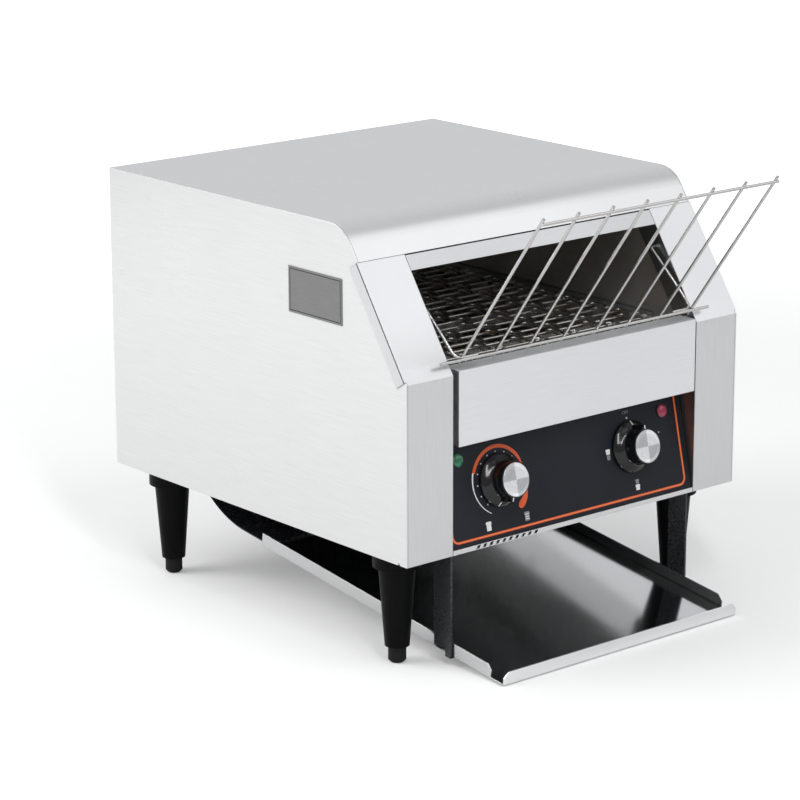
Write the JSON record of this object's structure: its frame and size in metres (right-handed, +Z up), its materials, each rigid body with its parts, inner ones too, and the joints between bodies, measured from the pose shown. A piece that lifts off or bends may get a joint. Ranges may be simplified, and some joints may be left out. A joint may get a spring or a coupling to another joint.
{
  "type": "conveyor toaster",
  "caption": "Countertop conveyor toaster: wire belt between quartz heaters, wire feed rack, two knobs, chute and pull-out collection tray on tapered legs.",
  "frame": {"origin": "on the counter, at the middle of the four feet", "axes": "+Z up, -Y the front with the knobs and the rack, +X the right hand side seen from the front"},
  "size_m": [0.3976, 0.5349, 0.4137],
  "materials": {
    "stainless": "brushed, fine grain",
    "stainless_bright": "bright annealed, near mirror",
    "galvanised": "dull galvanised",
    "wire": "bright plated wire",
    "belt_wire": "plated wire, slightly heat-stained",
    "zinc": "zinc plated",
    "black_enamel": "gloss black enamel",
    "panel_film": "black printed film",
    "bare_plate": "satin, blank",
    "knob_plastic": "black, fine texture",
    "knob_disc": "spun",
    "leg_plastic": "black moulded",
    "foot_plastic": "dark grey",
    "green_lens": "translucent green",
    "red_lens": "translucent red",
    "quartz": "frosted quartz",
    "ceramic": "white steatite",
    "motor_paint": "dark grey",
    "bronze": "sintered bronze",
    "steel": "turned steel",
    "chain_steel": "oiled",
    "fan_plastic": "black",
    "block_plastic": "pale"
  },
  "bodies": {
    "housing": {"side_panel_left": "stainless", "side_panel_right": "stainless", "top_cover": "stainless", "front_frame_left": "stainless", "front_frame_right": "stainless", "opening_lintel": "stainless", "rear_panel": "stainless", "base_plate": "black_enamel", "front_plate": "stainless", "vent_sill": "stainless", "control_panel": "panel_film", "nameplate": "bare_plate", "inner_wall_left": "galvanised", "inner_wall_right": "galvanised", "cord_gland": "fan_plastic", "housing_screws": "zinc", "conveyor_belt": "belt_wire", "shaft_bushes": "bronze", "belt_rails": "galvanised", "drive_chain": "chain_steel", "gear_motor": "motor_paint", "motor_bracket": "galvanised", "upper_heaters": "quartz", "upper_heater_holders": "ceramic", "lower_heaters": "quartz", "lower_heater_holders": "ceramic", "upper_reflector": "stainless_bright", "lower_shield": "galvanised", "speed_regulator": "motor_paint", "selector_switch": "fan_plastic", "power_lamp": "green_lens", "heating_lamp": "red_lens", "fan_frame": "fan_plastic", "terminal_block": "block_plastic", "legs": "leg_plastic", "leg_nuts": "zinc", "chute": "black_enamel", "tray_hangers": "black_enamel"},
    "drive_train": {"drive_shaft": "steel", "rear_sprockets": "steel", "chain_sprocket": "chain_steel"},
    "idler": {"idler_shaft": "steel", "front_sprockets": "steel"},
    "motor_output": {"motor_shaft": "steel", "motor_sprocket": "chain_steel"},
    "fan": {"fan_rotor": "fan_plastic"},
    "speed_control": {"speed_knob": "knob_plastic", "speed_knob_cap": "knob_disc", "speed_spindle": "steel"},
    "selector": {"selector_knob": "knob_plastic", "selector_knob_cap": "knob_disc", "selector_spindle": "steel"},
    "foot_front_left": {"foot_front_left": "foot_plastic"},
    "foot_front_right": {"foot_front_right": "foot_plastic"},
    "foot_rear_left": {"foot_rear_left": "foot_plastic"},
    "foot_rear_right": {"foot_rear_right": "foot_plastic"},
    "tray": {"collection_tray": "stainless_bright"},
    "rack": {"wire_rack": "wire"}
  },
  "joints": [
    {"name": "drive_shaft_spin", "type": "hinge", "parent": "housing", "child": "drive_train", "pos_m": [0, 0.13509, 0.2408], "axis": [1, 0, 0], "continuous": true, "deforming": ["conveyor_belt", "drive_chain"]},
    {"name": "idler_shaft_spin", "type": "hinge", "parent": "housing", "child": "idler", "pos_m": [0, -0.168, 0.2408], "axis": [1, 0, 0], "continuous": true},
    {"name": "motor_shaft_spin", "type": "hinge", "parent": "housing", "child": "motor_output", "pos_m": [0.166, 0.05686, 0.1498], "axis": [1, 0, 0], "continuous": true},
    {"name": "fan_spin", "type": "hinge", "parent": "housing", "child": "fan", "pos_m": [-0.06, -0.052, 0.115], "axis": [0, 0, 1], "continuous": true},
    {"name": "speed_knob_turn", "type": "hinge", "parent": "housing", "child": "speed_control", "pos_m": [-0.0822, -0.19992, 0.15636], "axis": [0, 0.9751, -0.2215], "range_deg": [0, 290]},
    {"name": "selector_knob_turn", "type": "hinge", "parent": "housing", "child": "selector", "pos_m": [0.0774, -0.19992, 0.15636], "axis": [0, -0.9751, 0.2215], "range_deg": [0, 180]},
    {"name": "foot_front_left_turn", "type": "hinge", "parent": "housing", "child": "foot_front_left", "pos_m": [-0.169, -0.1645, 0], "axis": [0, 0, 1], "range_deg": [-180, 180]},
    {"name": "foot_front_right_turn", "type": "hinge", "parent": "housing", "child": "foot_front_right", "pos_m": [0.169, -0.1645, 0], "axis": [0, 0, 1], "range_deg": [-180, 180]},
    {"name": "foot_rear_left_turn", "type": "hinge", "parent": "housing", "child": "foot_rear_left", "pos_m": [-0.169, 0.1645, 0], "axis": [0, 0, 1], "range_deg": [-180, 180]},
    {"name": "foot_rear_right_turn", "type": "hinge", "parent": "housing", "child": "foot_rear_right", "pos_m": [0.169, 0.1645, 0], "axis": [0, 0, 1], "range_deg": [-180, 180]},
    {"name": "tray_slide", "type": "slide", "parent": "housing", "child": "tray", "axis": [0, -1, 0], "range_m": [0, 0.3]},
    {"name": "rack_swing", "type": "hinge", "parent": "housing", "child": "rack", "pos_m": [0, -0.15696, 0.32401], "axis": [-1, 0, 0], "range_deg": [0, 80]}
  ],
  "couplings": [
    {"joint": "idler_shaft_spin", "follows": "drive_shaft_spin", "ratio": 1},
    {"joint": "motor_shaft_spin", "follows": "drive_shaft_spin", "ratio": 1}
  ]
}
